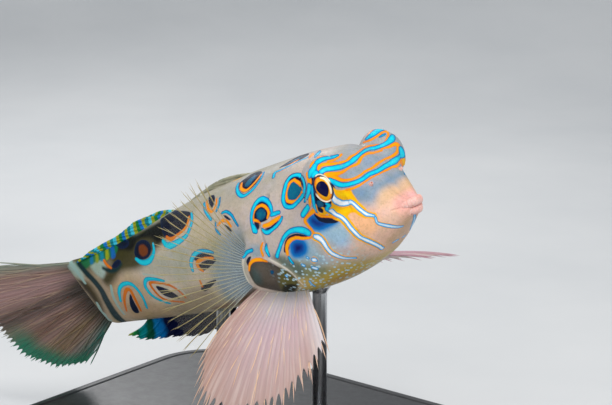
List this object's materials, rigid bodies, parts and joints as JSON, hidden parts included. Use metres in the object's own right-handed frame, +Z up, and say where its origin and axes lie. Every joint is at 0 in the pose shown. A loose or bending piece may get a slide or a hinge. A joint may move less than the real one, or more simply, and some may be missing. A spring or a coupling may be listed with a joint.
{
  "type": "spotted mandarinfish",
  "caption": "Still life-size spotted mandarinfish swimming with its broad side fins spread and its tail turned, held over a flat display base by short steel rods.",
  "frame": {"origin": "centre of the underside of the display stand's base", "axes": "+X along the fish towards its head, +Y to the fish's left, +Z up; the base rests on the floor at Z = 0"},
  "size_m": [0.066, 0.043, 0.0407],
  "materials": {
    "skin": "wet satin skin, grey-tan with cyan-edged orange rings and teal spots",
    "lips": "soft pink, finely wrinkled",
    "eyes": "clear glossy cornea over an orange iris and a dark blue pupil",
    "pectoral_fins": "clear membrane with fine cream rays",
    "pelvic_fins": "translucent pink with branched orange-cream rays",
    "median_fins": "folded, green and blue with slanting yellow stripes",
    "tail_fin": "translucent pink-brown with a green lower edge",
    "stand_base": "smooth satin black",
    "stand_rods": "brushed"
  },
  "bodies": {
    "root": {"head": "skin", "trunk": "skin", "tail_stem": "skin", "upper_lip": "lips", "lower_lip": "lips", "eye_left": "eyes", "eye_right": "eyes", "dorsal_fin_first": "median_fins", "dorsal_fin_second": "median_fins", "anal_fin": "median_fins", "caudal_fin": "tail_fin", "pectoral_fin_left": "pectoral_fins", "pectoral_fin_right": "pectoral_fins", "pelvic_fin_left": "pelvic_fins", "pelvic_fin_right": "pelvic_fins", "stand_base": "stand_base", "stand_rod_front": "stand_rods", "stand_rod_rear": "stand_rods"}
  },
  "joints": []
}
